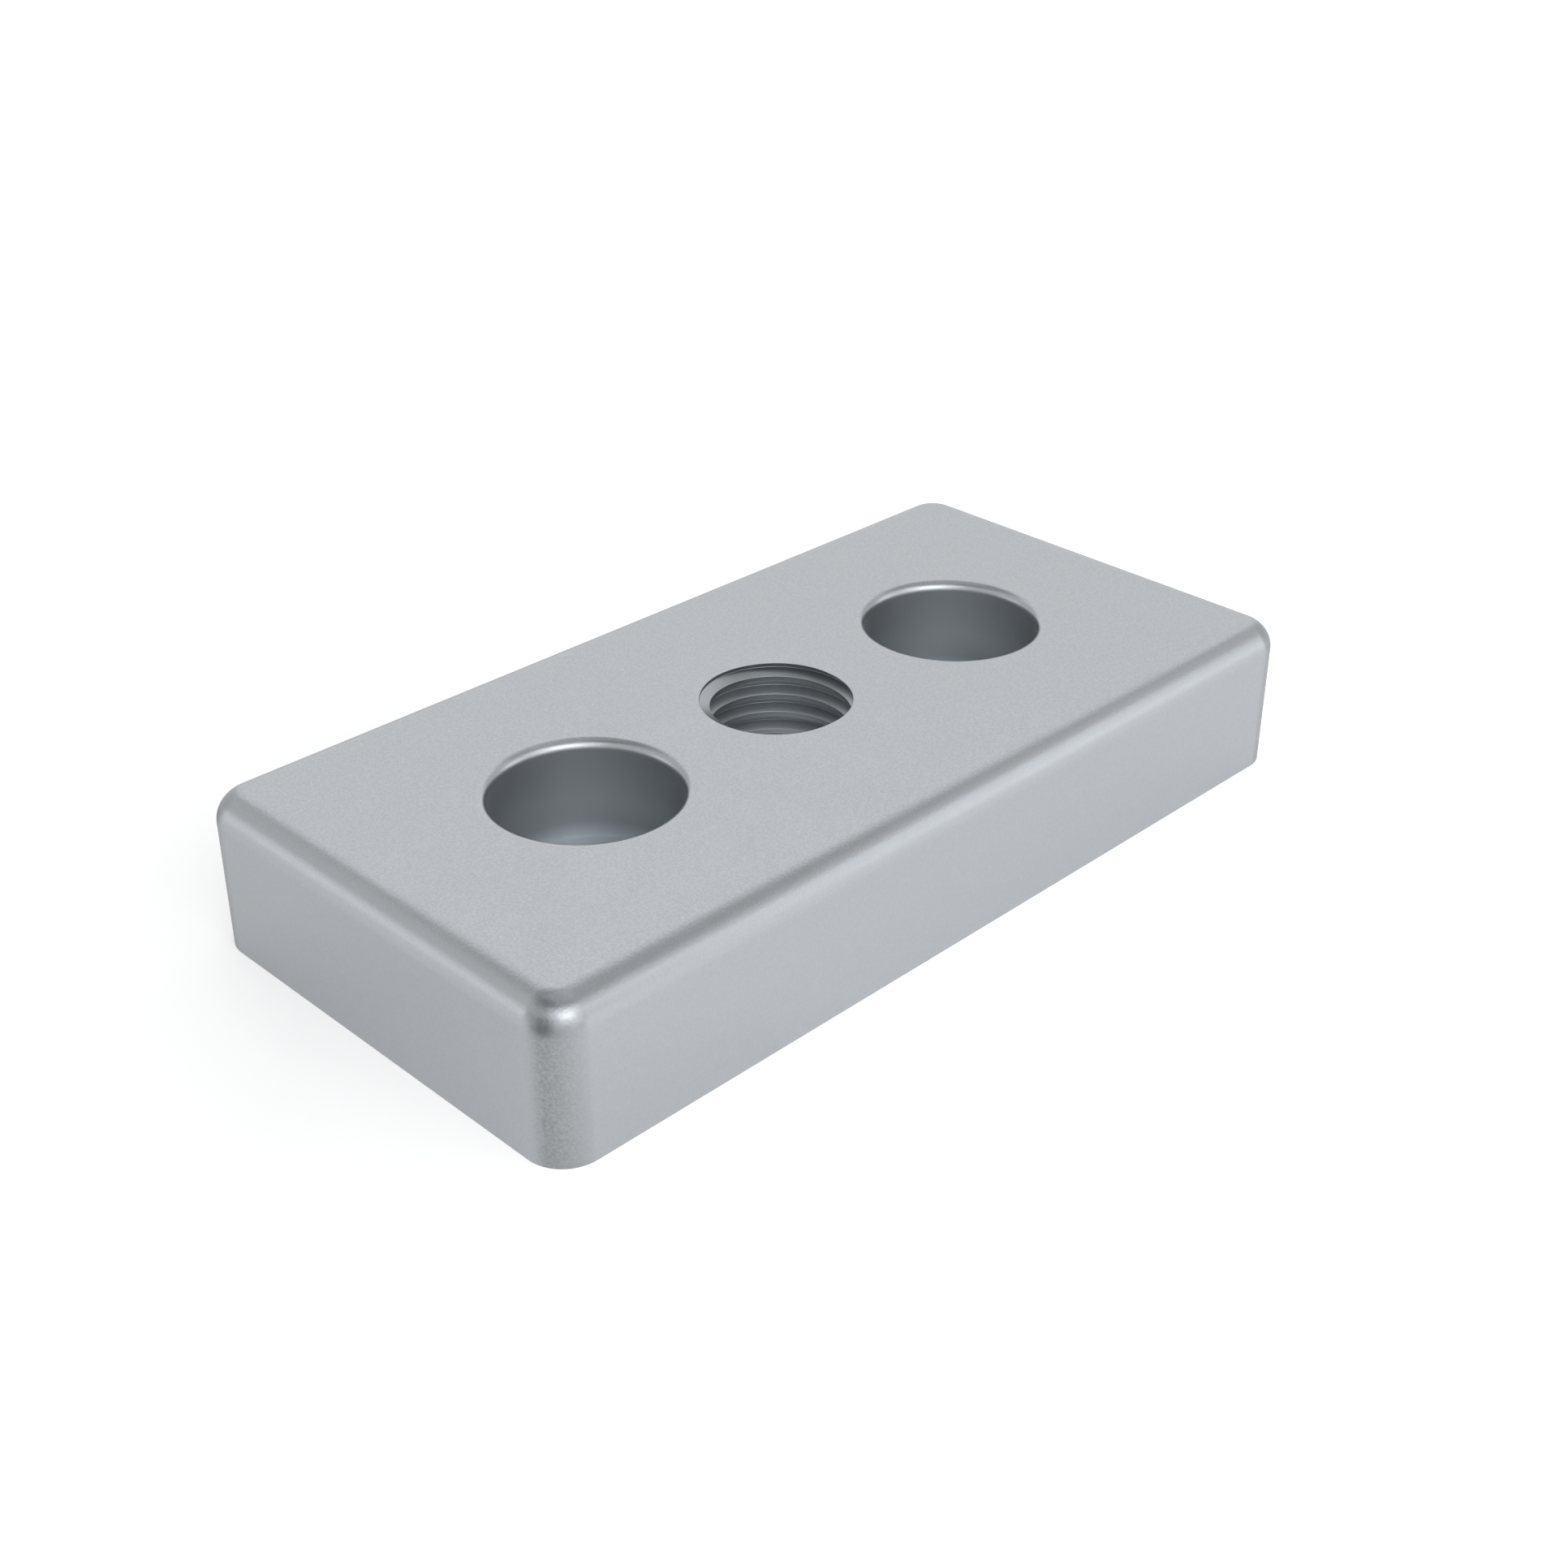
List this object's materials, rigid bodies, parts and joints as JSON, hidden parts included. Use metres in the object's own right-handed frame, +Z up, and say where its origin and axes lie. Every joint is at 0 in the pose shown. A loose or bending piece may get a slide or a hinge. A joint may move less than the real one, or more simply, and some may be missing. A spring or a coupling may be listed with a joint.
{
  "type": "base plate",
  "caption": "Thick rectangular metal base plate with a rounded top edge, a tapped through hole in the middle for a foot, and a recessed screw hole at each side of it.",
  "frame": {"origin": "centre of the underside, on the axis of the tapped hole", "axes": "+X along the plate's length, +Y across its width, +Z up, out of the rounded top face that the foot and the screws enter"},
  "size_m": [0.1, 0.05, 0.016],
  "materials": {
    "aluminium": "fine satin, slightly mottled"
  },
  "bodies": {
    "root": {"base_plate": "aluminium"}
  },
  "joints": []
}
